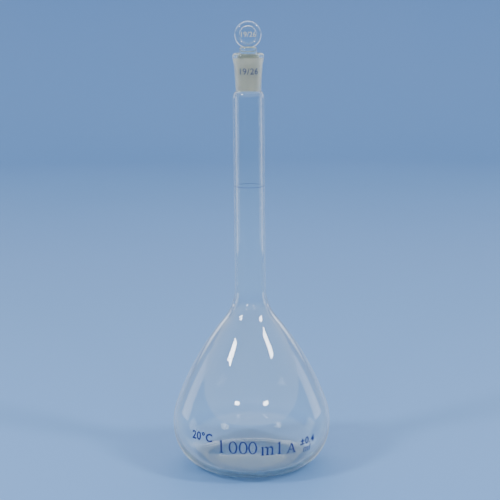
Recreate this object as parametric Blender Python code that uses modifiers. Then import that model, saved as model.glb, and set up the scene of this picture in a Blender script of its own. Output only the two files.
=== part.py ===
"""One-litre volumetric flask with its ground-glass stopper, in metres, +Z up.

The flask stands on z = 0 with its axis on Z. Three glass blanks make its body: a blown
bulb, a neck tube and a conical ground socket, fused end to end. The graduation ring is
fired on the neck. The loose stopper sits in the socket and lifts out along +Z.
"""
import math

import bpy
import bmesh

# Bulb, outside. The heel is a quarter ellipse, and two arcs and a hollow fillet follow it.
BULB_RADIUS = 0.0650
WIDEST_HEIGHT = 0.0354
FOOT_RADIUS = 0.0371
FOOT_RING_WIDTH = 0.0070
PUNT_DEPTH = 0.0015
PUNT_RADIUS = 0.0226
SIDE_ARC_RADIUS = 0.0500
SIDE_ARC_ANGLE = math.radians(20.0)
SHOULDER_ANGLE = math.radians(39.2)
ROOT_FILLET_RADIUS = 0.0404

# Walls
BULB_WALL = 0.0021
BASE_THICKNESS = 0.0035
NECK_WALL = 0.0019
SOCKET_WALL = 0.0019
SOCKET_TOP_WALL = 0.0022
RIM_WALL = 0.0031

# Neck and mouth
RIM_HEIGHT = 0.3390
NECK_RADIUS = 0.01245
NECK_TOP_CURVE = 0.0060
MARK_BELOW_RIM = 0.1060
MARK_LINE_WIDTH = 0.0006
MARK_THICKNESS = 0.0003

# Ground joint, size 19/26: largest bore 18.8 mm, ground length 26 mm, taper 1 in 10
GROUND_RADIUS = 0.0094
GROUND_LENGTH = 0.0260
TAPER = 0.1
LIP_DEPTH = 0.0035
LIP_FLARE = 0.0008
SOCKET_TAIL = 0.0005
RIM_BAND = 0.0028
RIM_FLARE = 0.0080
RIM_ROUNDING = 0.0020

# Stopper: a round flat head on a waist, over the ground cone
HEAD_RADIUS = 0.01065
HEAD_THICKNESS = 0.0076
HEAD_EDGE_RADIUS = 0.0024
HEAD_DISH = 0.0009
HEAD_DISH_RADIUS = 0.0066
HEAD_ROOT_HEIGHT = 0.0020
HEAD_ROOT_INSET = 0.0012
HEAD_ROOT_ROUNDING = 0.0021
WAIST_RADIUS = 0.0068
WAIST_HEIGHT = 0.0040
CONE_SHOULDER = 0.0024
TIP_ROUNDING = 0.0012

# Clearances
FUSE_GAP = 0.0003
GROUND_CLEARANCE = 0.0003

SEGMENTS = 48
HEEL_STEPS = 9
EDGE_STEPS = 8
CURVE_STEPS = 6
ROUNDING_STEPS = 4
MERGE_DISTANCE = 0.00001

ground_top = RIM_HEIGHT - LIP_DEPTH
ground_bottom = ground_top - GROUND_LENGTH
ground_tip_radius = GROUND_RADIUS - GROUND_LENGTH * TAPER / 2
socket_bottom = ground_bottom - SOCKET_TAIL
socket_bottom_radius = ground_tip_radius + SOCKET_WALL
rim_radius = GROUND_RADIUS + RIM_WALL
mark_height = RIM_HEIGHT - MARK_BELOW_RIM


def clear_scene():
    for item in list(bpy.data.objects):
        bpy.data.objects.remove(item, do_unlink=True)


def make_collection(name):
    collection = bpy.data.collections.new(name)
    bpy.context.scene.collection.children.link(collection)
    return collection


def make_material(name, colour, roughness, transmission=0.0, ior=1.47):
    material = bpy.data.materials.new(name)
    material.use_nodes = True
    shader = material.node_tree.nodes["Principled BSDF"]
    shader.inputs["Base Color"].default_value = (*colour, 1.0)
    shader.inputs["Metallic"].default_value = 0.0
    shader.inputs["Roughness"].default_value = roughness
    shader.inputs["Transmission Weight"].default_value = transmission
    shader.inputs["IOR"].default_value = ior
    return material


def clear_glass():
    return make_material("clear_glass", (0.93, 0.97, 0.95), 0.02, transmission=1.0)


def ground_glass():
    return make_material("ground_glass", (0.84, 0.86, 0.82), 0.45, transmission=0.7)


def blue_enamel():
    return make_material("blue_enamel", (0.03, 0.06, 0.40), 0.35, ior=1.5)


def place_on(item, parent, collection, material):
    collection.objects.link(item)
    item.parent = parent
    item.data.materials.append(material)


def make_turned(name, profile, closed):
    """Turn a profile of (radius, height) points about Z. It runs down its outer side."""
    mesh = bpy.data.meshes.new(name)
    outline = bmesh.new()
    points = [outline.verts.new((radius, 0.0, height)) for radius, height in profile]
    for first, second in zip(points, points[1:]):
        outline.edges.new((first, second))
    if closed:
        outline.edges.new((points[-1], points[0]))
    outline.to_mesh(mesh)
    outline.free()
    item = bpy.data.objects.new(name, mesh)
    screw = item.modifiers.new("turn", "SCREW")
    screw.steps = SEGMENTS
    screw.render_steps = SEGMENTS
    screw.use_merge_vertices = True
    screw.merge_threshold = MERGE_DISTANCE
    screw.use_smooth_shade = True
    return item


def between(start, end, run, rise):
    """The point that lies a share run of the way out and a share rise of the way up."""
    return start[0] + (end[0] - start[0]) * run, start[1] + (end[1] - start[1]) * rise


def level_curve(start, end, steps):
    """Quarter ellipse that leaves its start level and reaches its end upright."""
    turns = [math.pi / 2 * step / steps for step in range(steps + 1)]
    return [between(start, end, math.sin(turn), 1 - math.cos(turn)) for turn in turns]


def upright_curve(start, end, steps):
    """Quarter ellipse that leaves its start upright and reaches its end level."""
    turns = [math.pi / 2 * step / steps for step in range(steps + 1)]
    return [between(start, end, 1 - math.cos(turn), math.sin(turn)) for turn in turns]


def swept_curve(start, end, steps):
    """S-shaped stretch that is upright at both ends."""
    shares = [step / steps for step in range(steps + 1)]
    return [between(start, end, (1 - math.cos(math.pi * share)) / 2, share) for share in shares]


def shoulder_outline():
    """Outer points from the widest ring to the neck root: radius, height, normal, wall."""
    side_run = SIDE_ARC_RADIUS * (1 - math.cos(SIDE_ARC_ANGLE))
    fillet_run = ROOT_FILLET_RADIUS * (1 - math.cos(SHOULDER_ANGLE))
    shoulder_run = BULB_RADIUS - side_run - NECK_RADIUS - fillet_run
    long_radius = shoulder_run / (math.cos(SIDE_ARC_ANGLE) - math.cos(SHOULDER_ANGLE))

    points = []
    radius, height = BULB_RADIUS, WIDEST_HEIGHT
    stretches = (
        (SIDE_ARC_RADIUS, 0.0, SIDE_ARC_ANGLE, 4),
        (long_radius, SIDE_ARC_ANGLE, SHOULDER_ANGLE, 5),
        (-ROOT_FILLET_RADIUS, SHOULDER_ANGLE, 0.0, 7),
    )
    for arc_radius, first_angle, last_angle, steps in stretches:
        centre_r = radius - arc_radius * math.cos(first_angle)
        centre_z = height - arc_radius * math.sin(first_angle)
        for step in range(1, steps + 1):
            angle = first_angle + (last_angle - first_angle) * step / steps
            radius = centre_r + arc_radius * math.cos(angle)
            height = centre_z + arc_radius * math.sin(angle)
            blend = step / steps if arc_radius < 0 else 0.0
            wall = BULB_WALL + (NECK_WALL - BULB_WALL) * blend
            points.append((radius, height, angle, wall))
    return points


def neck_root():
    return shoulder_outline()[-1][1]


def bulb_profile():
    shoulder = shoulder_outline()
    foot_inner_radius = FOOT_RADIUS - FOOT_RING_WIDTH
    outer_heel = level_curve((FOOT_RADIUS, 0.0), (BULB_RADIUS, WIDEST_HEIGHT), HEEL_STEPS)
    punt = [(0.0, PUNT_DEPTH), (PUNT_RADIUS, PUNT_DEPTH), (foot_inner_radius, 0.0)]
    outer = punt + outer_heel + [(radius, height) for radius, height, _, _ in shoulder]

    floor = BASE_THICKNESS
    inner_heel = level_curve((FOOT_RADIUS, floor), (BULB_RADIUS - BULB_WALL, WIDEST_HEIGHT),
                             HEEL_STEPS)
    inner = [(0.0, floor + PUNT_DEPTH), (PUNT_RADIUS, floor + PUNT_DEPTH)]
    inner += inner_heel
    for radius, height, angle, wall in shoulder:
        inner.append((radius - wall * math.cos(angle), height - wall * math.sin(angle)))
    return inner + outer[::-1]


def neck_profile():
    bottom = neck_root() + FUSE_GAP
    top = socket_bottom - FUSE_GAP
    curve_start = top - NECK_TOP_CURVE
    bore = NECK_RADIUS - NECK_WALL
    outer = [(NECK_RADIUS, bottom)]
    outer += upright_curve((NECK_RADIUS, curve_start), (socket_bottom_radius, top),
                           CURVE_STEPS)
    inner = [(bore, bottom)]
    inner += upright_curve((bore, curve_start), (ground_tip_radius, top),
                           CURVE_STEPS)
    return inner + outer[::-1]


def socket_profile():
    """Conical ground bore under a plain flared lip, and a rim band that stands out."""
    flare_bottom = RIM_HEIGHT - RIM_BAND - RIM_FLARE
    flare_bore = GROUND_RADIUS - (ground_top - flare_bottom) * TAPER / 2
    outer = [(socket_bottom_radius, socket_bottom), (socket_bottom_radius, ground_bottom)]
    outer += swept_curve((flare_bore + SOCKET_TOP_WALL, flare_bottom),
                         (rim_radius, RIM_HEIGHT - RIM_BAND), CURVE_STEPS)
    outer += upright_curve((rim_radius, RIM_HEIGHT - RIM_ROUNDING),
                           (rim_radius - RIM_ROUNDING, RIM_HEIGHT), ROUNDING_STEPS)
    inner = [(ground_tip_radius, socket_bottom), (ground_tip_radius, ground_bottom),
             (GROUND_RADIUS, ground_top), (GROUND_RADIUS + LIP_FLARE, RIM_HEIGHT)]
    return inner + outer[::-1]


def mark_profile():
    inner_radius = NECK_RADIUS + FUSE_GAP
    outer_radius = inner_radius + MARK_THICKNESS
    low, high = mark_height - MARK_LINE_WIDTH / 2, mark_height + MARK_LINE_WIDTH / 2
    return [(inner_radius, low), (inner_radius, high), (outer_radius, high), (outer_radius, low)]


def head_centre():
    """Height of the head's centre above the rim, so that its edge meets the waist's top."""
    return WAIST_HEIGHT + HEAD_RADIUS


def stopper_cone_profile():
    """Heights are from the rim, down the waist and the ground cone to the rounded tip."""
    cone_top, cone_bottom = -LIP_DEPTH, ground_bottom - RIM_HEIGHT
    cone_top_radius = GROUND_RADIUS - GROUND_CLEARANCE
    cone_tip_radius = ground_tip_radius - GROUND_CLEARANCE
    root_radius = HEAD_THICKNESS / 2 - HEAD_ROOT_INSET
    root_height = WAIST_HEIGHT + HEAD_ROOT_HEIGHT
    root_crown = root_height + HEAD_ROOT_ROUNDING
    profile = [(0.0, head_centre()), (root_radius - HEAD_ROOT_INSET, root_crown)]
    profile += swept_curve((root_radius, root_height), (WAIST_RADIUS, WAIST_HEIGHT),
                           ROUNDING_STEPS)
    profile += swept_curve((WAIST_RADIUS, cone_top + CONE_SHOULDER),
                           (cone_top_radius, cone_top), CURVE_STEPS)
    profile += upright_curve((cone_tip_radius, cone_bottom + TIP_ROUNDING),
                             (cone_tip_radius - TIP_ROUNDING, cone_bottom), ROUNDING_STEPS)
    profile.append((0.0, cone_bottom))
    return profile


def head_profile():
    """Half section of the flat head: dished faces and a round edge."""
    half = HEAD_THICKNESS / 2
    edge_centre = HEAD_RADIUS - HEAD_EDGE_RADIUS
    top_face = [(0.0, half - HEAD_DISH), (HEAD_DISH_RADIUS, half - HEAD_DISH)]
    edge = []
    for step in range(EDGE_STEPS + 1):
        turn = math.pi / 2 - math.pi * step / EDGE_STEPS
        edge.append((edge_centre + HEAD_EDGE_RADIUS * math.cos(turn), half * math.sin(turn)))
    bottom_face = [(radius, -height) for radius, height in reversed(top_face)]
    return top_face + edge + bottom_face


def make_stopper_head(guides, parent):
    head = make_turned("stopper_head_form", head_profile(), closed=False)
    guides.objects.link(head)
    head.parent = parent
    head.location = (0.0, 0.0, head_centre())
    head.rotation_euler = (math.pi / 2, 0.0, 0.0)
    head.hide_render = True
    head.display_type = "WIRE"
    return head


def make_stopper(parts, guides, parent):
    stopper = make_turned("stopper", stopper_cone_profile(), closed=False)
    place_on(stopper, parent, parts, clear_glass())
    union = stopper.modifiers.new("head", "BOOLEAN")
    union.operation = "UNION"
    union.solver = "EXACT"
    union.object = make_stopper_head(guides, parent)
    return stopper


def make_axis(name, height, collection):
    axis = bpy.data.objects.new(name, None)
    axis.empty_display_type = "SINGLE_ARROW"
    axis.empty_display_size = 0.05
    axis.location = (0.0, 0.0, height)
    collection.objects.link(axis)
    return axis


def main():
    clear_scene()
    parts = make_collection("volumetric_flask")
    guides = make_collection("guides")
    base_axis = make_axis("flask_axis", 0.0, guides)
    stopper_axis = make_axis("stopper_lift_axis", RIM_HEIGHT, guides)

    glass = clear_glass()
    place_on(make_turned("bulb", bulb_profile(), closed=False), base_axis, parts, glass)
    place_on(make_turned("neck_tube", neck_profile(), closed=True), base_axis, parts, glass)
    place_on(make_turned("ground_socket", socket_profile(), closed=True), base_axis, parts,
             ground_glass())
    place_on(make_turned("graduation_ring", mark_profile(), closed=True), base_axis, parts,
             blue_enamel())
    make_stopper(parts, guides, stopper_axis)


main()
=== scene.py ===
"""Looks of a one-litre volumetric flask: clear glass, ground joint, fired print and studio.

It is laid out as an add-on with one operator for each piece, and is run as a script. Every
place comes from the loaded frame, and every size of its own is a property below.
"""
import math

import bpy
from mathutils import Matrix, Vector


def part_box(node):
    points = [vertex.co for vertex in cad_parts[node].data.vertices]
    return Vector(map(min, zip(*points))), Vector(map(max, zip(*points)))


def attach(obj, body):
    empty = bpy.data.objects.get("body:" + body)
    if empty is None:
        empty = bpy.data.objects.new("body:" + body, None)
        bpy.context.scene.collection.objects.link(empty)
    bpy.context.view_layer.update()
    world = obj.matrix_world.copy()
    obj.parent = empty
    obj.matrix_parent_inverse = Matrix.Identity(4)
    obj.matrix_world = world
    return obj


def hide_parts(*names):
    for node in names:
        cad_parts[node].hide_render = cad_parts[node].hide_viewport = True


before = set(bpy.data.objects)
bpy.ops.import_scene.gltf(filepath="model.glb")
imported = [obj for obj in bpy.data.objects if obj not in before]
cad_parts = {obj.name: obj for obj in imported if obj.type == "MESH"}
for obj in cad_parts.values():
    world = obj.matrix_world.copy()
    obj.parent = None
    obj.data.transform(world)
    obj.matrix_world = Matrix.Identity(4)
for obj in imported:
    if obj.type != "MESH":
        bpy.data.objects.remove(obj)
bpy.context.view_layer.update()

bl_info = {
    "name": "Volumetric Flask",
    "version": (1, 0, 0),
    "blender": (4, 5, 0),
    "location": "View3D > Sidebar > Flask",
    "description": "Builds a one-litre volumetric flask with its ground stopper",
    "category": "Add Mesh",
}

BULB_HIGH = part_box("bulb")[1]
NECK_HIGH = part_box("neck_tube")[1]
SOCKET_LOW, SOCKET_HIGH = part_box("ground_socket")
RING_LOW, RING_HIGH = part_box("graduation_ring")
STOPPER_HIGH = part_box("stopper")[1]

MERGE_DISTANCE = 0.000002
WAIST_HEIGHT = 0.0040
NOISE_LOW, NOISE_HIGH = 0.3, 0.7

# Steps of a full turn
TURN_STEPS = 192
STOPPER_TURN_STEPS = 128
STAGE_TURN_STEPS = 96

# Steps of the curves in the outlines
PUNT_STEPS = 12
HEEL_STEPS = 26
SIDE_STEPS = 10
SHOULDER_STEPS = 14
ROOT_STEPS = 48
SWEEP_STEPS = 14
SHORT_SWEEP_STEPS = 12
CONE_STEPS = 8
EDGE_STEPS = 8
LIP_STEPS = 6
HEAD_EDGE_STEPS = 20
FLOOR_STEPS = 6
COVE_STEPS = 16

# Steps of the curves in the print
CROWN_STEPS = 6
OVAL_STEPS = 44
LETTER_STEPS = 8
FONT_STEPS = 6


def length_value(name, description, default):
    return bpy.props.FloatProperty(
        name=name, description=description, default=default, min=0.0, precision=5,
        subtype="DISTANCE", unit="LENGTH")


def angle_value(name, description, degrees):
    return bpy.props.FloatProperty(
        name=name, description=description, default=math.radians(degrees),
        subtype="ANGLE", unit="ROTATION")


def colour_value(name, description, default):
    return bpy.props.FloatVectorProperty(
        name=name, description=description, default=default, size=3, min=0.0, max=1.0,
        subtype="COLOR")


def plain_value(name, description, default):
    return bpy.props.FloatProperty(name=name, description=description, default=default)


class FlaskSizes(bpy.types.PropertyGroup):
    """Sizes of the fused glass body."""
    bulb_radius: length_value("Bulb radius", "Outside, at its widest", BULB_HIGH.x)
    widest_height: length_value("Widest height", "Height of the bulb's widest ring", 0.0354)
    foot_radius: length_value("Foot radius", "Outer edge of the flat it stands on", 0.0371)
    foot_ring: length_value("Foot ring", "Width of the flat it stands on", 0.0070)
    punt_depth: length_value("Punt depth", "Rise of the hollow under the foot", 0.0015)
    side_radius: length_value("Side radius", "Arc above the widest ring", 0.0500)
    side_angle: angle_value("Side angle", "Turn of that arc", 20.0)
    shoulder_angle: angle_value("Shoulder angle", "Steepest slope of the shoulder", 39.2)
    root_radius: length_value("Root radius", "Hollow fillet into the neck", 0.0404)
    bulb_wall: length_value("Bulb wall", "Glass in the bulb", 0.0021)
    floor_wall: length_value("Floor", "Glass in the floor of the bulb", 0.0035)
    bead_drop: length_value("Bead drop", "Fused bead, below the neck's root", 0.0130)
    bead_rise: length_value("Bead rise", "How far the fused bead stands out", 0.00010)
    bead_width: length_value("Bead width", "Height of the fused bead", 0.0030)
    neck_radius: length_value("Neck radius", "Outside of the tube", NECK_HIGH.x)
    neck_wall: length_value("Neck wall", "Glass in the tube", 0.0019)
    neck_top_curve: length_value("Neck top", "Height of its rounded end", 0.0060)
    seam_height: length_value("Seam", "Where neck and socket are fused",
                              (NECK_HIGH.z + SOCKET_LOW.z) / 2)
    rim_height: length_value("Rim height", "Top of the mouth", SOCKET_HIGH.z)
    rim_radius: length_value("Rim radius", "Outside of the rim band", SOCKET_HIGH.x)


class JointSizes(bpy.types.PropertyGroup):
    """Sizes of the ground joint and of the stopper in it."""
    ground_radius: length_value("Ground radius", "Bore at the top of the ground cone", 0.0094)
    ground_length: length_value("Ground length", "Height of the ground cone", 0.0260)
    slope: plain_value("Slope", "Loss of radius for each metre of depth", 0.05)
    lip_depth: length_value("Lip depth", "Clear glass above the ground cone", 0.0035)
    lip_flare: length_value("Lip flare", "How far the lip's bore opens", 0.0008)
    socket_wall: length_value("Socket wall", "Glass at the foot of the socket", 0.0019)
    top_wall: length_value("Top wall", "Glass under the rim's flare", 0.0022)
    rim_band: length_value("Rim band", "Height of the rim band", 0.0028)
    rim_flare: length_value("Rim flare", "Height of the sweep under it", 0.0080)
    rim_rounding: length_value("Rim rounding", "Fire-polished edge", 0.0020)
    seat_gap: length_value("Seat gap", "Air between the two ground faces", 0.00006)
    waist_radius: length_value("Waist radius", "Stopper between cone and head", 0.0068)
    waist_height: length_value("Waist height", "Top of the waist above the rim", WAIST_HEIGHT)
    cone_shoulder: length_value("Cone shoulder", "Rounded top of the cone", 0.0024)
    tip_rounding: length_value("Tip rounding", "Rounded edge of the tip", 0.0012)
    head_radius: length_value("Head radius", "Half the width of the flat head",
                              (STOPPER_HIGH.z - SOCKET_HIGH.z - WAIST_HEIGHT) / 2)
    head_thickness: length_value("Head thickness", "Across the flat head", 0.0076)
    head_edge: length_value("Head edge", "Width of the round edge of the head", 0.0024)
    head_dish: length_value("Head dish", "Depth of its dished faces", 0.0009)
    head_dish_radius: length_value("Dish radius", "Flat part of the dished faces", 0.0066)
    head_root_height: length_value("Root height", "How far the waist runs up the head", 0.0020)
    head_root_radius: length_value("Root radius", "Waist where it ends on the head", 0.0026)
    head_figures: length_value("Head figures", "Size of the raised figures", 0.0058)
    figure_relief: length_value("Relief", "How far the figures stand out", 0.0005)


class PrintSizes(bpy.types.PropertyGroup):
    """Sizes of the fired print."""
    film: length_value("Film", "Thickness of the enamel", 0.00006)
    lift: length_value("Lift", "Keeps the film clear of the glass facets", 0.000004)
    grid: length_value("Grid", "Spacing of the cuts that let flat print bend", 0.0008)
    figure_height: length_value("Figure height", "Height of the capacity figures", 0.0106)
    small_height: length_value("Small letter height", "Height of the letter m", 0.0075)
    class_height: length_value("Class height", "Height of the accuracy class letter", 0.0086)
    figure_foot: length_value("Figure foot", "Height of the figures' feet", 0.0281)
    letter_foot: length_value("Letter foot", "Height of the letters' feet", 0.0268)
    class_foot: length_value("Class foot", "Height of the class letter's foot", 0.0262)
    stem: length_value("Stem", "Width of a thick stroke", 0.00130)
    hair: length_value("Hair", "Width of a thin stroke", 0.00075)
    serif: length_value("Serif", "How far a foot stands out past its stem", 0.0008)
    wrap_radius: length_value("Wrap radius", "Radius that the print is laid out on", 0.0645)
    ring_width: length_value("Line width", "Width of the graduation line", 0.00028)
    side_height: length_value("Side mark height", "Size of the marks at the sides", 0.0080)
    joint_mark_height: length_value("Joint mark height", "Size of the joint's figures", 0.0068)
    joint_mark_middle: length_value("Joint mark middle", "Height of the joint's figures",
                                    SOCKET_HIGH.z - 0.0140)


class Finishes(bpy.types.PropertyGroup):
    """Colours and finishes."""
    glass: colour_value("Glass", "Tint of the surface", (0.985, 0.995, 0.99))
    glass_depth: colour_value("Glass depth", "Tint through the thickness", (0.72, 0.90, 0.78))
    glass_density: plain_value("Glass density", "Strength of that tint per metre", 22.0)
    glass_ior: plain_value("Refractive index", "Borosilicate glass", 1.473)
    # Painted sheen: a pale layer at grazing angles that lightens the glass at its edges,
    # standing in for the light its walls gather there. The next two lines set how far in it
    # reaches and its warm white.
    edge_sheen: plain_value("Edge sheen", "Dry film that pales the glass at its edges", 0.60)
    sheen_spread: plain_value("Sheen spread", "How far that film reaches in from the edge", 0.35)
    sheen_tint: colour_value("Sheen tint", "Warm white of that film", (1.0, 0.98, 0.93))
    ground: colour_value("Ground glass", "Tint of the ground faces", (1.0, 0.96, 0.76))
    enamel: colour_value("Enamel", "Fired blue", (0.004, 0.018, 0.17))
    ink: colour_value("Joint mark", "Grey-blue figures on the socket", (0.06, 0.08, 0.16))
    paper: colour_value("Stage", "Pale floor and backdrop", (0.11, 0.25, 0.52))


class StageSizes(bpy.types.PropertyGroup):
    """Camera, backdrop and lights."""
    camera_distance: length_value("Camera distance", "From the flask's axis", 1.10)
    camera_height: length_value("Camera height", "Above the floor", 0.40)
    aim_height: length_value("Aim height", "Middle of the view, on the axis", 0.180)
    camera_lean: angle_value("Camera lean", "The camera's slight lean", 0.55)
    lens: plain_value("Lens", "Focal length in millimetres", 99.14)
    floor_radius: length_value("Floor radius", "Flat part of the round stage", 1.9)
    cove_radius: length_value("Cove radius", "Curve between floor and wall", 0.7)
    wall_height: length_value("Wall height", "Top of the round wall", 0.9)
    light_aim: length_value("Light aim", "Height on the axis that the lamps aim at", 0.12)
    sky: colour_value("Sky", "Colour of the light from all round", (0.92, 0.95, 1.0))
    sky_strength: plain_value("Sky strength", "Strength of that light", 1.1)
    light_bounces: bpy.props.IntProperty(
        name="Light bounces", description="How many glass faces light may meet", default=32,
        min=1)


def flask():
    return bpy.context.scene.flask_sizes


def joint():
    return bpy.context.scene.joint_sizes


def marks():
    return bpy.context.scene.print_sizes


def finishes():
    return bpy.context.scene.flask_finishes


def stage_sizes():
    return bpy.context.scene.stage_sizes


# Modelling helpers

def deselect_all():
    if bpy.context.mode != "OBJECT":
        bpy.ops.object.mode_set(mode="OBJECT")
    bpy.ops.object.select_all(action="DESELECT")


def select_only(piece):
    deselect_all()
    piece.select_set(True)
    bpy.context.view_layer.objects.active = piece


def start_outline(name, first):
    """A plane drawn together to one vertex at the outline's first point, in edit mode."""
    deselect_all()
    bpy.ops.mesh.primitive_plane_add(size=0.001, location=(0.0, 0.0, 0.0))
    piece = bpy.context.object
    piece.name = name
    piece.data.name = name
    bpy.ops.object.mode_set(mode="EDIT")
    bpy.ops.mesh.merge(type="CENTER")
    bpy.ops.transform.translate(value=first)
    return piece


def extrude_along(points):
    """Extrudes the selected vertex from point to point."""
    for start, end in zip(points, points[1:]):
        step = Vector(end) - Vector(start)
        bpy.ops.mesh.extrude_region_move(TRANSFORM_OT_translate={"value": step})


def turn(name, profile, upright=True, steps=TURN_STEPS):
    """Draws a half section of (radius, height) points and spins it round Z, or round Y."""
    if upright:
        points = [(radius, 0.0, height) for radius, height in profile]
        axis = (0.0, 0.0, 1.0)
    else:
        points = [(radius, height, 0.0) for radius, height in profile]
        axis = (0.0, 1.0, 0.0)
    piece = start_outline(name, points[0])
    extrude_along(points)
    bpy.ops.mesh.select_all(action="SELECT")
    bpy.ops.mesh.spin(steps=steps, angle=math.tau, center=(0.0, 0.0, 0.0), axis=axis)
    close_and_orient()
    bpy.ops.object.mode_set(mode="OBJECT")
    return piece


def close_and_orient():
    """Merges what spin laid on itself and turns every face outwards."""
    bpy.ops.mesh.select_all(action="SELECT")
    bpy.ops.mesh.remove_doubles(threshold=MERGE_DISTANCE)
    bpy.ops.mesh.select_all(action="SELECT")
    bpy.ops.mesh.normals_make_consistent(inside=False)


def apply_modifier(piece, kind, **settings):
    select_only(piece)
    bpy.ops.object.modifier_add(type=kind)
    modifier = piece.modifiers[-1]
    for key, value in settings.items():
        setattr(modifier, key, value)
    bpy.ops.object.modifier_apply(modifier=modifier.name)


def join_solids(piece, other):
    """Fuses another closed solid into the piece and removes the other."""
    apply_modifier(piece, "BOOLEAN", operation="UNION", solver="EXACT", object=other)
    bpy.data.objects.remove(other, do_unlink=True)


def smooth(piece, degrees=35.0):
    select_only(piece)
    bpy.ops.object.shade_smooth_by_angle(angle=math.radians(degrees))


def give_material(piece, *materials):
    piece.data.materials.clear()
    for material in materials:
        piece.data.materials.append(material)


# Outlines: lists of (radius, height)

def between(start, end, run, rise):
    return start[0] + (end[0] - start[0]) * run, start[1] + (end[1] - start[1]) * rise


def level_curve(start, end, steps):
    """Quarter ellipse that leaves its start level and reaches its end upright."""
    turns = [math.pi / 2 * step / steps for step in range(steps + 1)]
    return [between(start, end, math.sin(turn), 1 - math.cos(turn)) for turn in turns]


def upright_curve(start, end, steps):
    """Quarter ellipse that leaves its start upright and reaches its end level."""
    turns = [math.pi / 2 * step / steps for step in range(steps + 1)]
    return [between(start, end, 1 - math.cos(turn), math.sin(turn)) for turn in turns]


def swept_curve(start, end, steps):
    """S-shaped stretch that is upright at both ends."""
    shares = [step / steps for step in range(steps + 1)]
    return [between(start, end, (1 - math.cos(math.pi * share)) / 2, share) for share in shares]


def shoulder_points():
    """Outer and inner points from the bulb's widest ring up to the neck's root."""
    sizes = flask()
    side_run = sizes.side_radius * (1 - math.cos(sizes.side_angle))
    fillet_run = sizes.root_radius * (1 - math.cos(sizes.shoulder_angle))
    shoulder_run = sizes.bulb_radius - side_run - sizes.neck_radius - fillet_run
    long_radius = shoulder_run / (math.cos(sizes.side_angle) - math.cos(sizes.shoulder_angle))
    stretches = (
        (sizes.side_radius, 0.0, sizes.side_angle, SIDE_STEPS),
        (long_radius, sizes.side_angle, sizes.shoulder_angle, SHOULDER_STEPS),
        (-sizes.root_radius, sizes.shoulder_angle, 0.0, ROOT_STEPS),
    )
    bead_height = BULB_HIGH.z - sizes.bead_drop
    outer, inner = [], []
    radius, height = sizes.bulb_radius, sizes.widest_height
    for arc_radius, first_angle, last_angle, steps in stretches:
        centre_r = radius - arc_radius * math.cos(first_angle)
        centre_z = height - arc_radius * math.sin(first_angle)
        for step in range(1, steps + 1):
            angle = first_angle + (last_angle - first_angle) * step / steps
            radius = centre_r + arc_radius * math.cos(angle)
            height = centre_z + arc_radius * math.sin(angle)
            blend = step / steps if arc_radius < 0 else 0.0
            wall = sizes.bulb_wall + (sizes.neck_wall - sizes.bulb_wall) * blend
            past_bead = (height - bead_height) * 2 / sizes.bead_width
            bead = sizes.bead_rise * math.exp(-past_bead ** 2)
            outer.append((radius + bead, height))
            inner.append((radius - bead - wall * math.cos(angle),
                          height - wall * math.sin(angle)))
    return outer, inner


def heel_radius(height):
    """Outer radius of the bulb at a height near its widest ring."""
    sizes = flask()
    if height < sizes.widest_height:
        drop = 1 - height / sizes.widest_height
        spread_out = (sizes.bulb_radius - sizes.foot_radius) * math.sqrt(1 - drop ** 2)
        return sizes.foot_radius + spread_out
    rise = (height - sizes.widest_height) / sizes.side_radius
    return sizes.bulb_radius - sizes.side_radius * (1 - math.sqrt(1 - rise ** 2))


def ground_span():
    """Top and bottom heights of the ground cone."""
    top = flask().rim_height - joint().lip_depth
    return top, top - joint().ground_length


def bore_at(height):
    """Radius of the ground cone at a height."""
    top, _ = ground_span()
    return joint().ground_radius - (top - height) * joint().slope


def body_outer():
    """Outside of the fused body, from the axis under the foot up to the rim."""
    sizes, cone = flask(), joint()
    foot_inner = sizes.foot_radius - sizes.foot_ring
    _, ground_bottom = ground_span()
    points = swept_punt(foot_inner, sizes.punt_depth, 0.0)
    points += level_curve((sizes.foot_radius, 0.0), (sizes.bulb_radius, sizes.widest_height),
                          HEEL_STEPS)
    points += shoulder_points()[0]

    tail_radius = bore_at(ground_bottom) + cone.socket_wall
    curve_start = sizes.seam_height - sizes.neck_top_curve
    points += upright_curve((sizes.neck_radius, curve_start), (tail_radius, sizes.seam_height),
                            SWEEP_STEPS)
    flare_bottom = sizes.rim_height - cone.rim_band - cone.rim_flare
    points.append((tail_radius, ground_bottom))
    points += swept_curve((bore_at(flare_bottom) + cone.top_wall, flare_bottom),
                          (sizes.rim_radius, sizes.rim_height - cone.rim_band), SWEEP_STEPS)
    points += upright_curve((sizes.rim_radius, sizes.rim_height - cone.rim_rounding),
                            (sizes.rim_radius - cone.rim_rounding, sizes.rim_height),
                            EDGE_STEPS)
    return points


def swept_punt(edge_radius, rise, floor):
    """Shallow dome of the given rise, from the axis out to its level edge."""
    shares = [step / PUNT_STEPS for step in range(PUNT_STEPS)]
    return [(edge_radius * share, floor + rise * (1 + math.cos(math.pi * share)) / 2)
            for share in shares] + [(edge_radius, floor)]


def body_inner():
    """Inside of the fused body, from the axis on the bulb's floor up to the lip."""
    sizes, cone = flask(), joint()
    ground_top, ground_bottom = ground_span()
    foot_inner = sizes.foot_radius - sizes.foot_ring
    points = swept_punt(foot_inner, sizes.punt_depth, sizes.floor_wall)
    points += level_curve((sizes.foot_radius, sizes.floor_wall),
                          (sizes.bulb_radius - sizes.bulb_wall, sizes.widest_height),
                          HEEL_STEPS)
    points += shoulder_points()[1]

    bore = sizes.neck_radius - sizes.neck_wall
    tip_bore = bore_at(ground_bottom)
    curve_start = sizes.seam_height - sizes.neck_top_curve
    points += upright_curve((bore, curve_start), (tip_bore, sizes.seam_height),
                            SHORT_SWEEP_STEPS)
    heights = [ground_bottom + (ground_top - ground_bottom) * step / CONE_STEPS
               for step in range(CONE_STEPS + 1)]
    points += [(bore_at(height), height) for height in heights]
    lip_edge = joint().ground_radius + cone.lip_flare
    lip_round = sizes.rim_radius - cone.rim_rounding - lip_edge
    points += [(lip_edge, sizes.rim_height - lip_round)]
    points += level_to_top(lip_edge, sizes.rim_height, lip_round)
    return points


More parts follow.
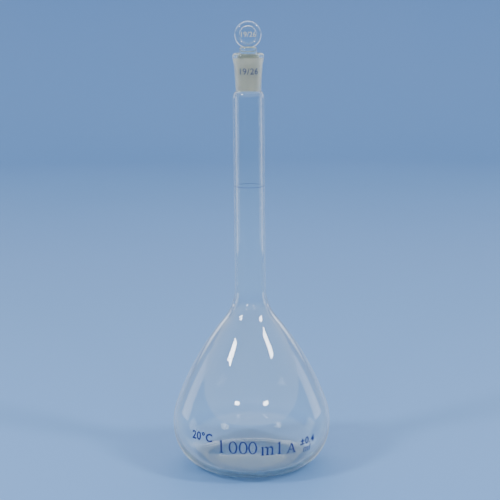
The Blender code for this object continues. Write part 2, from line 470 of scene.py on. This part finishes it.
def level_to_top(edge, top, size):
    """Quarter round from an upright bore up and outwards to a level top."""
    turns = [math.pi / 2 * step / LIP_STEPS for step in range(1, LIP_STEPS)]
    return [(edge + size * (1 - math.cos(turn)), top - size * (1 - math.sin(turn)))
            for turn in turns]


# Materials

def new_material(name):
    material = bpy.data.materials.new(name)
    material.use_nodes = True
    tree = material.node_tree
    return material, tree, tree.nodes["Principled BSDF"]


def object_coordinates(tree, stretch=(1.0, 1.0, 1.0)):
    source = tree.nodes.new("ShaderNodeTexCoord")
    mapping = tree.nodes.new("ShaderNodeMapping")
    mapping.inputs["Scale"].default_value = stretch
    tree.links.new(source.outputs["Object"], mapping.inputs["Vector"])
    return mapping.outputs["Vector"]


def noise(tree, vector, scale, detail=3.0, roughness=0.5, distortion=0.0):
    node = tree.nodes.new("ShaderNodeTexNoise")
    node.inputs["Scale"].default_value = scale
    node.inputs["Detail"].default_value = detail
    node.inputs["Roughness"].default_value = roughness
    node.inputs["Distortion"].default_value = distortion
    tree.links.new(vector, node.inputs["Vector"])
    return node.outputs["Fac"]


def spread(tree, value, low, high):
    """Maps a noise value to the range that a socket needs."""
    node = tree.nodes.new("ShaderNodeMapRange")
    node.inputs["From Min"].default_value = NOISE_LOW
    node.inputs["From Max"].default_value = NOISE_HIGH
    node.inputs["To Min"].default_value = low
    node.inputs["To Max"].default_value = high
    tree.links.new(value, node.inputs["Value"])
    return node.outputs["Result"]


def tinted(tree, value, first, second):
    """Colour that wanders between two tints with the noise value."""
    ramp = tree.nodes.new("ShaderNodeValToRGB")
    low, high = ramp.color_ramp.elements
    low.position, low.color = NOISE_LOW, (*first, 1.0)
    high.position, high.color = NOISE_HIGH, (*second, 1.0)
    tree.links.new(value, ramp.inputs["Fac"])
    return ramp.outputs["Color"]


def bump(tree, height, strength, distance, after=None):
    node = tree.nodes.new("ShaderNodeBump")
    node.inputs["Strength"].default_value = strength
    node.inputs["Distance"].default_value = distance
    tree.links.new(height, node.inputs["Height"])
    if after is not None:
        tree.links.new(after, node.inputs["Normal"])
    return node.outputs["Normal"]


def scaled(colour, share):
    """The colour with its channels multiplied, and held below full."""
    return tuple(min(1.0, channel * share) for channel in colour)


def add_depth_tint(tree):
    """Absorption through the thickness, which shows green where the glass is deep."""
    look = finishes()
    depth = tree.nodes.new("ShaderNodeVolumeAbsorption")
    depth.inputs["Color"].default_value = (*look.glass_depth, 1.0)
    depth.inputs["Density"].default_value = look.glass_density
    output = tree.nodes["Material Output"]
    tree.links.new(depth.outputs["Volume"], output.inputs["Volume"])


def clear_glass():
    """Blown glass: faint waves and draw lines, a little smear and a green depth."""
    look = finishes()
    material, tree, shader = new_material("clear_glass")
    shader.inputs["Transmission Weight"].default_value = 1.0
    shader.inputs["IOR"].default_value = look.glass_ior
    # Painted sheen at the edges: a pale layer that stands in for the light the glass walls
    # gather at their rims.
    shader.inputs["Sheen Weight"].default_value = look.edge_sheen
    shader.inputs["Sheen Roughness"].default_value = look.sheen_spread
    shader.inputs["Sheen Tint"].default_value = (*look.sheen_tint, 1.0)
    vector = object_coordinates(tree)
    drawn = object_coordinates(tree, stretch=(260.0, 260.0, 9.0))
    waves = noise(tree, vector, scale=22.0, detail=1.5)
    lines = noise(tree, drawn, scale=1.0, detail=1.0)
    smear = noise(tree, vector, scale=45.0, detail=4.0, distortion=0.6)
    colour = tinted(tree, smear, scaled(look.glass, 0.985), look.glass)
    tree.links.new(colour, shader.inputs["Base Color"])
    tree.links.new(spread(tree, smear, low=0.0, high=0.02), shader.inputs["Roughness"])
    normal = bump(tree, waves, strength=0.10, distance=0.0010)
    normal = bump(tree, lines, strength=0.05, distance=0.00012, after=normal)
    tree.links.new(normal, shader.inputs["Normal"])
    add_depth_tint(tree)
    return material


def ground_glass():
    """Ground faces: matt and milky, with the fine rings that the grinding leaves."""
    look = finishes()
    material, tree, shader = new_material("ground_glass")
    shader.inputs["Transmission Weight"].default_value = 0.50
    shader.inputs["IOR"].default_value = look.glass_ior
    vector = object_coordinates(tree)
    ringed = object_coordinates(tree, stretch=(60.0, 60.0, 2600.0))
    patches = noise(tree, vector, scale=160.0, detail=5.0, roughness=0.6)
    rings = noise(tree, ringed, scale=1.0, detail=2.0)
    grit = noise(tree, vector, scale=4200.0, detail=2.0, roughness=0.7)
    colour = tinted(tree, patches, scaled(look.ground, 0.9), look.ground)
    tree.links.new(colour, shader.inputs["Base Color"])
    tree.links.new(spread(tree, rings, low=0.42, high=0.62), shader.inputs["Roughness"])
    normal = bump(tree, rings, strength=0.25, distance=0.00006)
    normal = bump(tree, grit, strength=0.35, distance=0.00004, after=normal)
    tree.links.new(normal, shader.inputs["Normal"])
    add_depth_tint(tree)
    return material


def fired_print(name, colour):
    """Fired ink: uneven film with fine pinholes and a satin surface."""
    material, tree, shader = new_material(name)
    vector = object_coordinates(tree)
    patches = noise(tree, vector, scale=420.0, detail=4.0, roughness=0.6)
    grain = noise(tree, vector, scale=3000.0, detail=2.0)
    shade = tinted(tree, patches, scaled(colour, 0.7), scaled(colour, 1.25))
    tree.links.new(shade, shader.inputs["Base Color"])
    tree.links.new(spread(tree, patches, low=0.28, high=0.48), shader.inputs["Roughness"])
    normal = bump(tree, grain, strength=0.3, distance=0.00003)
    tree.links.new(normal, shader.inputs["Normal"])
    return material


def stage_paper():
    """Matt paper with faint clouds and fibres."""
    look = finishes()
    material, tree, shader = new_material("stage_paper")
    vector = object_coordinates(tree)
    cloud = noise(tree, vector, scale=1.6, detail=2.0)
    fibre = noise(tree, vector, scale=320.0, detail=3.0)
    shade = tinted(tree, cloud, scaled(look.paper, 0.97), look.paper)
    tree.links.new(shade, shader.inputs["Base Color"])
    tree.links.new(spread(tree, cloud, low=0.6, high=0.75), shader.inputs["Roughness"])
    normal = bump(tree, fibre, strength=0.05, distance=0.0002)
    tree.links.new(normal, shader.inputs["Normal"])
    return material


# Glass pieces

CLEAR, GROUND = 0, 1  # material slots of the glass pieces
GROUND_REACH = 0.0005  # a bore's face lies nearer than this to the ground cone


class FLASK_OT_glass_body(bpy.types.Operator):
    """Turn the fused body: bulb, neck tube and ground socket in one glass"""
    bl_idname = "flask.glass_body"
    bl_label = "Glass Body"

    def execute(self, context):
        profile = body_outer() + body_inner()[::-1]
        body = turn("glass_body", profile)
        give_material(body, clear_glass(), ground_glass())
        top, bottom = ground_span()
        for face in body.data.polygons:
            middle = face.center
            past_cone = math.hypot(middle.x, middle.y) - bore_at(middle.z)
            in_bore = bottom < middle.z < top and past_cone < GROUND_REACH
            face.material_index = GROUND if in_bore else CLEAR
        smooth(body)
        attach(body, "flask")
        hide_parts("bulb", "neck_tube", "ground_socket")
        return {"FINISHED"}


def stopper_profile():
    """Half section from inside the head down the waist and the ground cone to the tip."""
    sizes, cone = flask(), joint()
    top, bottom = ground_span()
    cone_top = cone.ground_radius - cone.seat_gap
    cone_tip = bore_at(bottom) - cone.seat_gap
    waist_top = sizes.rim_height + cone.waist_height
    root = cone.head_root_radius
    points = [(0.0, waist_top + cone.head_root_height + root)]
    points += swept_curve((root, waist_top + cone.head_root_height),
                          (cone.waist_radius, waist_top), SWEEP_STEPS)
    points += swept_curve((cone.waist_radius, top + cone.cone_shoulder), (cone_top, top),
                          SHORT_SWEEP_STEPS)
    points += upright_curve((cone_tip, bottom + cone.tip_rounding),
                            (cone_tip - cone.tip_rounding, bottom), EDGE_STEPS)
    points.append((0.0, bottom))
    return points


def head_profile():
    """Half section of the flat head: a dished face, a raised border and a full round edge."""
    cone = joint()
    half = cone.head_thickness / 2
    border = cone.head_radius - cone.head_edge
    face = swept_curve((half - cone.head_dish, cone.head_dish_radius), (half, border),
                       EDGE_STEPS)
    dish = [(0.0, half - cone.head_dish)] + [(radius, height) for height, radius in face[:-1]]
    edge = arc((border, 0.0), cone.head_edge, half, 90, -90, HEAD_EDGE_STEPS)
    return dish + edge + [(radius, -height) for radius, height in reversed(dish)]


def raised_figures(text, height, depth):
    """Solid lettering in the XZ plane, facing -Y, centred on the origin."""
    deselect_all()
    bpy.ops.object.text_add(location=(0.0, 0.0, 0.0))
    letters = bpy.context.object
    letters.data.body = text
    letters.data.size = height
    letters.data.align_x = "CENTER"
    letters.data.align_y = "CENTER"
    letters.data.extrude = depth / 2
    letters.data.resolution_u = FONT_STEPS
    select_only(letters)
    bpy.ops.object.convert(target="MESH")
    letters.rotation_euler = (math.pi / 2, 0.0, 0.0)
    bpy.ops.object.transform_apply(location=False, rotation=True, scale=False)
    bpy.ops.object.mode_set(mode="EDIT")
    close_and_orient()
    bpy.ops.object.mode_set(mode="OBJECT")
    return letters


def move_mesh(piece, offset):
    select_only(piece)
    bpy.ops.object.mode_set(mode="EDIT")
    bpy.ops.mesh.select_all(action="SELECT")
    bpy.ops.transform.translate(value=offset)
    bpy.ops.object.mode_set(mode="OBJECT")


class FLASK_OT_stopper(bpy.types.Operator):
    """Turn the stopper's cone and flat head, fuse them and raise the size on the head"""
    bl_idname = "flask.stopper"
    bl_label = "Stopper"

    def execute(self, context):
        cone = joint()
        waist_top = flask().rim_height + cone.waist_height
        head_middle = waist_top + cone.head_radius
        stopper = turn("glass_stopper", stopper_profile(), steps=STOPPER_TURN_STEPS)
        head = turn("head", head_profile(), upright=False, steps=STOPPER_TURN_STEPS)
        move_mesh(head, (0.0, 0.0, head_middle))
        join_solids(stopper, head)
        figures = raised_figures("19/26", cone.head_figures, cone.figure_relief * 2)
        face = cone.head_thickness / 2 - cone.head_dish
        move_mesh(figures, (0.0, -face, head_middle))
        join_solids(stopper, figures)
        give_material(stopper, clear_glass(), ground_glass())
        top, bottom = ground_span()
        for polygon in stopper.data.polygons:
            middle = polygon.center
            on_cone = bottom + cone.tip_rounding < middle.z < top
            raised = middle.y < -face - cone.figure_relief / 2
            in_dish = math.hypot(middle.x, middle.z - head_middle) < cone.head_dish_radius
            polygon.material_index = GROUND if on_cone or (raised and in_dish) else CLEAR
        smooth(stopper)
        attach(stopper, "stopper")
        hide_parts("stopper")
        return {"FINISHED"}


# Print

class FLASK_OT_graduation_ring(bpy.types.Operator):
    """Turn the fired line that marks one litre round the neck"""
    bl_idname = "flask.graduation_ring"
    bl_label = "Graduation Ring"

    def execute(self, context):
        sizes = marks()
        middle = (RING_LOW.z + RING_HIGH.z) / 2
        radius = flask().neck_radius + sizes.lift
        half = sizes.ring_width / 2
        turns = [math.pi * step / CROWN_STEPS for step in range(CROWN_STEPS + 1)]
        crown = [(radius + sizes.film * math.sin(turned), middle - half * math.cos(turned))
                 for turned in turns]
        ring = turn("graduation_line", crown + [crown[0]])
        give_material(ring, fired_print("blue_enamel_line", finishes().enamel))
        smooth(ring, 60.0)
        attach(ring, "flask")
        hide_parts("graduation_ring")
        return {"FINISHED"}


LETTER_SPACING = 1.1

# How far along the bulb, from the middle of the print, each sign stands
FIGURE_ONE_ALONG = -0.0248
ZEROS_ALONG = (-0.0150, -0.0069, 0.0006)
LETTER_M_ALONG = 0.0124
LETTER_L_ALONG = 0.0222
CLASS_ALONG = 0.0328

# Middle of each side mark: how far along the bulb, and how high
TEMPERATURE_MIDDLE = (-0.0428, 0.0385)
TOLERANCE_MIDDLE = (0.0490, 0.0335)
UNIT_MIDDLE = (0.0490, 0.0268)


def draw_contours(name, contours):
    """Draws closed outlines in the XY plane and fills them. Inner outlines stay open."""
    first, *others = contours
    piece = start_outline(name, (*first[0], 0.0))
    extrude_along([(x, y, 0.0) for x, y in [*first, first[0]]])
    for contour in others:
        bpy.ops.mesh.select_all(action="DESELECT")
        bpy.ops.mesh.primitive_plane_add(size=0.001, location=(0.0, 0.0, 0.0))
        bpy.ops.mesh.merge(type="CENTER")
        bpy.ops.transform.translate(value=(*contour[0], 0.0))
        extrude_along([(x, y, 0.0) for x, y in [*contour, contour[0]]])
    bpy.ops.mesh.select_all(action="SELECT")
    bpy.ops.mesh.remove_doubles(threshold=MERGE_DISTANCE)
    bpy.ops.mesh.fill(use_beauty=True)
    bpy.ops.object.mode_set(mode="OBJECT")
    return piece


def foot_serif(middle):
    """Bottom of a stem, from its left side to its right side."""
    sizes = marks()
    half, reach, thin = sizes.stem / 2, sizes.stem / 2 + sizes.serif, sizes.hair * 0.8
    return [(middle - half, thin * 1.5), (middle - reach, thin), (middle - reach, 0.0),
            (middle + reach, 0.0), (middle + reach, thin), (middle + half, thin * 1.5)]


def arc(centre, half_width, half_height, first, last, steps):
    """Stretch of an ellipse between two angles in degrees."""
    angles = [math.radians(first + (last - first) * step / steps) for step in range(steps + 1)]
    return [(centre[0] + half_width * math.cos(angle), centre[1] + half_height * math.sin(angle))
            for angle in angles]


def stem_outline(height):
    """A figure one or a letter l: a stem with a foot and a flag at its top left."""
    sizes = marks()
    half, flag = sizes.stem / 2, sizes.stem / 2 + sizes.serif * 1.4
    flag_top = height - sizes.serif * 1.6
    top = [(half, height), (half - sizes.hair, height), (-flag, flag_top),
           (-flag, flag_top - sizes.hair), (-half, height - sizes.serif * 1.3)]
    return [foot_serif(0.0) + top]


def zero_outline():
    """An upright oval ring, thick at its sides and thin at its top and foot."""
    sizes = marks()
    tall, wide = sizes.figure_height / 2, sizes.figure_height * 0.335
    outer = arc((0.0, tall), wide, tall, 0, 360, OVAL_STEPS)[:-1]
    inner = arc((0.0, tall), wide - sizes.stem, tall - sizes.hair, 0, 360, OVAL_STEPS)[:-1]
    return [outer, inner]


def letter_m_outline():
    """Three stems with feet under two arches, and a flag at its top left."""
    sizes = marks()
    height, half, hair = sizes.small_height, sizes.stem / 2, sizes.hair
    pitch = height * 0.53
    first, second, third = -pitch, 0.0, pitch
    spring = height * 0.74
    inner_rise = height - hair * 1.3 - spring
    outline = []
    for left in (first, second):
        outline += foot_serif(left)
        outline += [(left + half, spring)]
        outline += arc((left + pitch / 2, spring), pitch / 2 - half, inner_rise, 150, 0,
                       LETTER_STEPS)
    outline += foot_serif(third)
    for left, first_angle in ((second, 0), (first, 28)):
        outline += arc((left + pitch / 2 + half, spring), pitch / 2, height - spring,
                       first_angle, 115, LETTER_STEPS)
    outline += [(first + half, height - hair * 2.4), (first + half, height),
                (first + half - hair, height),
                (first - half - sizes.serif, height - sizes.serif * 0.7),
                (first - half, height - sizes.serif * 1.5)]
    return [outline]


def letter_a_outline():
    """A capital with a thin left leg, a thick right leg and a bar."""
    sizes = marks()
    height, hair, stem = sizes.class_height, sizes.hair, sizes.stem
    foot, stance = hair * 0.8, height * 0.42
    lean = (stance - hair * 0.7) / (height - foot)

    def left_leg(level, inset):
        return -stance + inset + (level - foot) * lean, level

    def right_leg(level, inset):
        return stance - inset - (level - foot) * lean, level

    bar_low, bar_high = height * 0.32, height * 0.32 + hair
    peak = foot + (stance - (hair + stem) / 2) / lean
    reach, left_serif = stance + sizes.serif, -stance + sizes.serif + hair
    right_serif = stance - stem - sizes.serif * 0.8
    outer = [left_leg(foot, 0.0), (-reach, foot), (-reach, 0.0),
             (left_serif, 0.0), (left_serif, foot),
             left_leg(foot, hair), left_leg(bar_low, hair), right_leg(bar_low, stem),
             right_leg(foot, stem), (right_serif, foot),
             (right_serif, 0.0), (reach, 0.0),
             (reach, foot), right_leg(foot, 0.0), right_leg(height, 0.0),
             left_leg(height, 0.0)]
    inner = [left_leg(bar_high, hair), right_leg(bar_high, stem), left_leg(peak, hair)]
    return [outer, inner]


def flat_lettering(name, text, height, weight):
    """Flat lettering in the XY plane, centred on the origin. Weight thickens its strokes."""
    deselect_all()
    bpy.ops.object.text_add(location=(0.0, 0.0, 0.0))
    letters = bpy.context.object
    letters.name = name
    letters.data.body = text
    letters.data.size = height
    letters.data.align_x = "CENTER"
    letters.data.align_y = "CENTER"
    letters.data.resolution_u = FONT_STEPS
    letters.data.offset = height * weight
    letters.data.space_character = LETTER_SPACING
    letters.data.fill_mode = "FRONT"
    select_only(letters)
    bpy.ops.object.convert(target="MESH")
    return bpy.context.object


def slice_mesh(piece, spacing):
    """Cuts a flat piece into a fine grid, so that it can bend round the glass."""
    select_only(piece)
    points = [vertex.co.copy() for vertex in piece.data.vertices]
    bpy.ops.object.mode_set(mode="EDIT")
    for axis in (0, 1):
        low = min(point[axis] for point in points)
        high = max(point[axis] for point in points)
        cuts = int((high - low) / spacing)
        normal = [0.0, 0.0, 0.0]
        normal[axis] = 1.0
        for cut in range(1, cuts + 1):
            place = [0.0, 0.0, 0.0]
            place[axis] = low + (high - low) * cut / (cuts + 1)
            bpy.ops.mesh.select_all(action="SELECT")
            bpy.ops.mesh.bisect(plane_co=place, plane_no=normal)
    bpy.ops.mesh.select_all(action="SELECT")
    bpy.ops.mesh.remove_doubles(threshold=MERGE_DISTANCE)
    bpy.ops.object.mode_set(mode="OBJECT")


def wrap_on_glass(piece, along, foot, radius_at, layout_radius):
    """Bends a flat piece round the glass in front and gives it the film's thickness."""
    sizes = marks()
    slice_mesh(piece, sizes.grid)
    bpy.ops.object.mode_set(mode="EDIT")
    bpy.ops.mesh.select_all(action="SELECT")
    bpy.ops.mesh.extrude_region_move(TRANSFORM_OT_translate={"value": (0.0, 0.0, sizes.film)})
    bpy.ops.object.mode_set(mode="OBJECT")
    for vertex in piece.data.vertices:
        height = foot + vertex.co.y
        bearing = (along + vertex.co.x) / layout_radius
        reach = radius_at(height) + sizes.lift + vertex.co.z
        vertex.co = (reach * math.sin(bearing), -reach * math.cos(bearing), height)
    piece.data.update()
    select_only(piece)
    bpy.ops.object.mode_set(mode="EDIT")
    bpy.ops.mesh.select_all(action="SELECT")
    bpy.ops.mesh.normals_make_consistent(inside=False)
    bpy.ops.object.mode_set(mode="OBJECT")


def duplicate_of(piece):
    """A copy with its own mesh."""
    select_only(piece)
    bpy.ops.object.duplicate(linked=False)
    return bpy.context.object


def join_pieces(name, pieces):
    deselect_all()
    for piece in pieces:
        piece.select_set(True)
    bpy.context.view_layer.objects.active = pieces[0]
    bpy.ops.object.join()
    pieces[0].name = name
    pieces[0].data.name = name
    return pieces[0]


class FLASK_OT_capacity_print(bpy.types.Operator):
    """Print the capacity, 1000 ml, and its class on the front of the bulb"""
    bl_idname = "flask.capacity_print"
    bl_label = "Capacity Print"

    def execute(self, context):
        sizes = marks()
        one = draw_contours("figure_one", stem_outline(sizes.figure_height))
        zero = draw_contours("figure_zero", zero_outline())
        letter_l = draw_contours("letter_l", stem_outline(sizes.figure_height))
        places = (
            (one, FIGURE_ONE_ALONG, sizes.figure_foot),
            (duplicate_of(zero), ZEROS_ALONG[0], sizes.figure_foot),
            (duplicate_of(zero), ZEROS_ALONG[1], sizes.figure_foot),
            (zero, ZEROS_ALONG[2], sizes.figure_foot),
            (draw_contours("letter_m", letter_m_outline()), LETTER_M_ALONG, sizes.letter_foot),
            (letter_l, LETTER_L_ALONG, sizes.letter_foot),
            (draw_contours("class_a", letter_a_outline()), CLASS_ALONG, sizes.class_foot),
        )
        for glyph, along, foot in places:
            wrap_on_glass(glyph, along, foot, heel_radius, sizes.wrap_radius)
        letters = join_pieces("capacity_print", [glyph for glyph, _, _ in places])
        give_material(letters, fired_print("blue_enamel_print", finishes().enamel))
        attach(letters, "flask")
        return {"FINISHED"}


class FLASK_OT_side_marks(bpy.types.Operator):
    """Print the reference temperature and the tolerance at the sides of the capacity"""
    bl_idname = "flask.side_marks"
    bl_label = "Side Marks"

    def execute(self, context):
        sizes = marks()
        texts = (
            ("temperature", "20\u00b0C", sizes.side_height * 1.15, 0.03, TEMPERATURE_MIDDLE),
            ("tolerance", "\u00b10.4", sizes.side_height, 0.03, TOLERANCE_MIDDLE),
            ("tolerance_unit", "ml", sizes.side_height, 0.02, UNIT_MIDDLE),
        )
        pieces = []
        for name, text, height, weight, (along, middle) in texts:
            mark = flat_lettering(name, text, height, weight)
            wrap_on_glass(mark, along, middle, heel_radius, sizes.wrap_radius)
            pieces.append(mark)
        side_marks = join_pieces("side_marks", pieces)
        give_material(side_marks, fired_print("blue_enamel_marks", finishes().enamel))
        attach(side_marks, "flask")
        return {"FINISHED"}


def socket_radius(height):
    """Outer radius of the straight part of the socket."""
    _, bottom = ground_span()
    top = flask().rim_height - joint().rim_band - joint().rim_flare
    share = (height - bottom) / (top - bottom)
    low, high = bore_at(bottom) + joint().socket_wall, bore_at(top) + joint().top_wall
    return low + (high - low) * share


class FLASK_OT_joint_mark(bpy.types.Operator):
    """Print the ground joint's size on the front of the socket"""
    bl_idname = "flask.joint_mark"
    bl_label = "Joint Mark"

    def execute(self, context):
        sizes = marks()
        mark = flat_lettering("joint_size_print", "19/26", sizes.joint_mark_height, weight=0.01)
        wrap_on_glass(mark, 0.0, sizes.joint_mark_middle, socket_radius,
                      socket_radius(sizes.joint_mark_middle))
        give_material(mark, fired_print("joint_ink", finishes().ink))
        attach(mark, "flask")
        return {"FINISHED"}


# Stage

SENSOR_WIDTH = 36.0  # millimetres
CLIP_RANGE = (0.05, 50.0)


class FLASK_OT_stage(bpy.types.Operator):
    """Make the round pale stage, the soft lights and the camera"""
    bl_idname = "flask.stage"
    bl_label = "Stage"

    def execute(self, context):
        make_floor()
        make_lights()
        make_camera(context)
        let_light_through(context.scene)
        return {"FINISHED"}


def make_floor():
    """A round flat floor that sweeps up into a low wall."""
    sizes = stage_sizes()
    wall = sizes.floor_radius + sizes.cove_radius
    points = [(sizes.floor_radius * step / FLOOR_STEPS, 0.0) for step in range(FLOOR_STEPS)]
    points += level_curve((sizes.floor_radius, 0.0), (wall, sizes.cove_radius), COVE_STEPS)
    points.append((wall, sizes.wall_height))
    stage = turn("stage_cove", points[::-1], steps=STAGE_TURN_STEPS)
    select_only(stage)
    bpy.ops.object.mode_set(mode="EDIT")
    bpy.ops.mesh.select_all(action="SELECT")
    bpy.ops.mesh.flip_normals()
    bpy.ops.object.mode_set(mode="OBJECT")
    give_material(stage, stage_paper())
    smooth(stage, 60.0)


def add_panel_light(name, place, size, power, aim_height=None, beam=180.0):
    """A rectangular lamp that faces a height on the flask's axis. Its beam is in degrees."""
    aim = Vector((0.0, 0.0, stage_sizes().light_aim if aim_height is None else aim_height))
    deselect_all()
    bpy.ops.object.light_add(type="AREA", location=place)
    light = bpy.context.object
    light.name = name
    light.data.shape = "RECTANGLE"
    light.data.size, light.data.size_y = size
    light.data.energy = power
    light.data.spread = math.radians(beam)
    light.visible_camera = False
    light.rotation_euler = (aim - Vector(place)).to_track_quat("-Z", "Y").to_euler()


def make_lights():
    """Two windows above, two small front lamps, and upright strips that edge the glass."""
    add_panel_light("window_left", (-1.00, -0.62, 1.22), size=(0.24, 0.28), power=17.0)
    add_panel_light("window_right", (1.06, -0.58, 1.36), size=(0.24, 0.36), power=19.0)
    edge_bearing, edge_distance, edge_height = math.radians(30.0), 2.1, 0.85
    side_height = 0.18
    for side, name in ((-1.0, "left"), (1.0, "right")):
        add_panel_light("lamp_" + name, (side * 0.64, -1.38, 0.87), size=(0.18, 0.05), power=2.5)
        edge_place = (side * edge_distance * math.sin(edge_bearing),
                      edge_distance * math.cos(edge_bearing), edge_height)
        add_panel_light("edge_" + name, edge_place, size=(0.60, 1.6), power=0.97, beam=90.0)
        add_panel_light("side_" + name, (side * 0.78, 0.34, side_height), size=(0.30, 0.34),
                        power=0.13, aim_height=side_height, beam=90.0)
    add_panel_light("back", (0.0, 2.0, 1.9), size=(1.8, 0.6), power=13.0)
    sizes = stage_sizes()
    world = bpy.data.worlds.new("studio")
    world.use_nodes = True
    backdrop = world.node_tree.nodes["Background"]
    backdrop.inputs["Color"].default_value = (*sizes.sky, 1.0)
    backdrop.inputs["Strength"].default_value = sizes.sky_strength
    bpy.context.scene.world = world


def let_light_through(scene):
    """Light is followed through all the walls of the joint and along the thick heel."""
    sizes = stage_sizes()
    scene.cycles.max_bounces = sizes.light_bounces
    scene.cycles.glossy_bounces = sizes.light_bounces
    scene.cycles.transmission_bounces = sizes.light_bounces


def make_camera(context):
    """The camera, in front and a little above, with its slight lean."""
    sizes = stage_sizes()
    deselect_all()
    place = Vector((0.0, -sizes.camera_distance, sizes.camera_height))
    aim = Vector((0.0, 0.0, sizes.aim_height))
    bpy.ops.object.camera_add(location=place)
    camera = bpy.context.object
    camera.data.lens = sizes.lens
    camera.data.sensor_width = SENSOR_WIDTH
    turned = (aim - place).to_track_quat("-Z", "Y").to_matrix().to_4x4()
    lean = turned @ Matrix.Rotation(-sizes.camera_lean, 4, "Z")
    camera.rotation_euler = lean.to_euler()
    camera.data.clip_start, camera.data.clip_end = CLIP_RANGE
    context.scene.camera = camera


class FLASK_PT_builder(bpy.types.Panel):
    """Lists the flask's pieces in the order in which they are made"""
    bl_label = "Volumetric Flask"
    bl_idname = "FLASK_PT_builder"
    bl_space_type = "VIEW_3D"
    bl_region_type = "UI"
    bl_category = "Flask"

    def draw(self, context):
        for operator in OPERATORS:
            self.layout.operator(operator.bl_idname)
        for group in ("flask_sizes", "joint_sizes", "print_sizes", "flask_finishes",
                      "stage_sizes"):
            settings = getattr(context.scene, group)
            box = self.layout.box()
            for name in settings.__annotations__:
                box.prop(settings, name)


GROUPS = {
    "flask_sizes": FlaskSizes,
    "joint_sizes": JointSizes,
    "print_sizes": PrintSizes,
    "flask_finishes": Finishes,
    "stage_sizes": StageSizes,
}
OPERATORS = (
    FLASK_OT_glass_body,
    FLASK_OT_graduation_ring,
    FLASK_OT_capacity_print,
    FLASK_OT_side_marks,
    FLASK_OT_joint_mark,
    FLASK_OT_stopper,
    FLASK_OT_stage,
)


def register():
    for group in GROUPS.values():
        bpy.utils.register_class(group)
    for operator in OPERATORS:
        bpy.utils.register_class(operator)
    bpy.utils.register_class(FLASK_PT_builder)
    for name, group in GROUPS.items():
        setattr(bpy.types.Scene, name, bpy.props.PointerProperty(type=group))


def unregister():
    for name in GROUPS:
        delattr(bpy.types.Scene, name)
    bpy.utils.unregister_class(FLASK_PT_builder)
    for operator in reversed(OPERATORS):
        bpy.utils.unregister_class(operator)
    for group in reversed(list(GROUPS.values())):
        bpy.utils.unregister_class(group)


def main():
    register()
    bpy.ops.flask.stage()
    bpy.ops.flask.glass_body()
    bpy.ops.flask.graduation_ring()
    bpy.ops.flask.capacity_print()
    bpy.ops.flask.side_marks()
    bpy.ops.flask.joint_mark()
    bpy.ops.flask.stopper()


if __name__ == "__main__":
    main()
